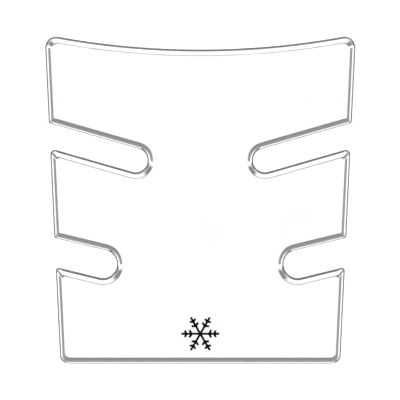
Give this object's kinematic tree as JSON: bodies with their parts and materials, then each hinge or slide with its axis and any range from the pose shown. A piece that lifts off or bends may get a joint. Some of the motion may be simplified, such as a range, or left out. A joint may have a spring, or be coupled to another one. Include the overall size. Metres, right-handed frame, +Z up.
{
  "type": "snowboard stomp pad",
  "caption": "Clear self-adhesive grip pad for a snowboard deck: tapered outline, hollowed front edge, slanted side slots, rounded rim, on its clear film release liner.",
  "frame": {"origin": "middle of the pad's outline, on the underside of the release liner, where the part rests", "axes": "+Z up out of the grip face, +Y towards the hollowed front edge, +X to the right seen from above"},
  "size_m": [0.1206, 0.1272, 0.0037],
  "materials": {
    "clear_polyurethane": "water-clear, polished, with a rounded rim",
    "black_ink": "flat black print under the clear layer",
    "clear_film": "thin clear film",
    "clear_adhesive": "clear, tacky, slightly hazy",
    "liner_film": "clear silicone-coated polyester film"
  },
  "bodies": {
    "liner": {"release_liner": "liner_film"},
    "pad": {"clear_pad": "clear_polyurethane", "printed_mark": "black_ink", "carrier_film": "clear_film", "adhesive_layer": "clear_adhesive"}
  },
  "joints": [
    {"name": "peel_off", "type": "slide", "parent": "liner", "child": "pad", "axis": [0, 0, 1], "range_m": [0, 0.03]}
  ]
}
